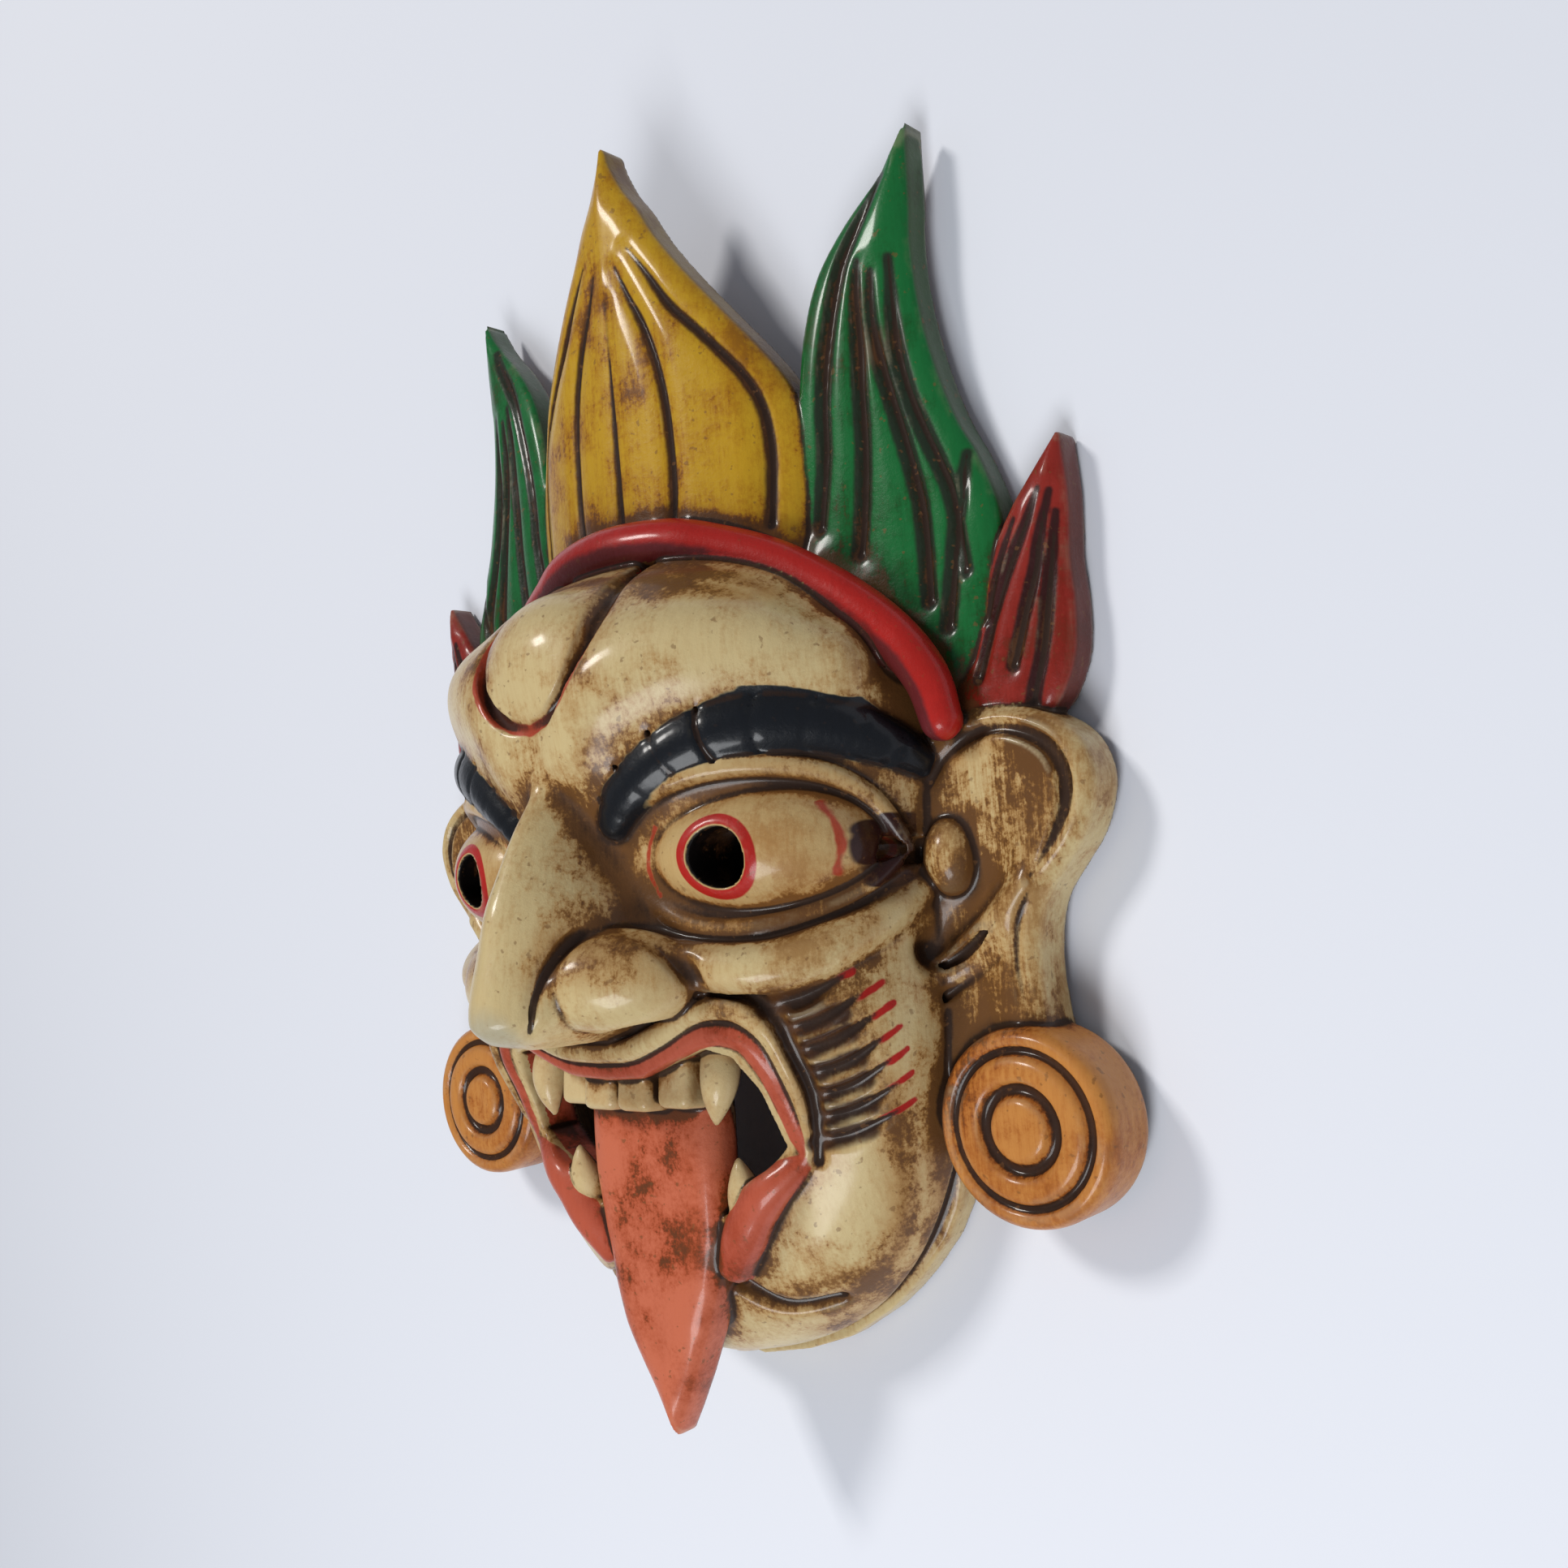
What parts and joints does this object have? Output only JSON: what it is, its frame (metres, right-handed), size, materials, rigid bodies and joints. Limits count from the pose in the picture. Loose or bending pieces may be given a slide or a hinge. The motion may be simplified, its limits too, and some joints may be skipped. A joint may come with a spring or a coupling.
{
  "type": "carved wooden wall mask",
  "caption": "Carved and painted wooden mask of a fierce deity with bulging eyes, hooked nose, fangs, long tongue, disc earrings and a crown of flames; hollow back, eye holes and open mouth.",
  "frame": {"origin": "middle of the mask's width and height on the plane it lies on, which is its flat back", "axes": "+X towards the mask's own left ear, +Y up the face to the crown, +Z out of the face; it lies on its back, face up"},
  "size_m": [0.2807, 0.399, 0.1132],
  "materials": {
    "painted_wood": "painted in oil colours, antiqued and varnished"
  },
  "bodies": {
    "root": {"mask": "painted_wood"}
  },
  "joints": []
}
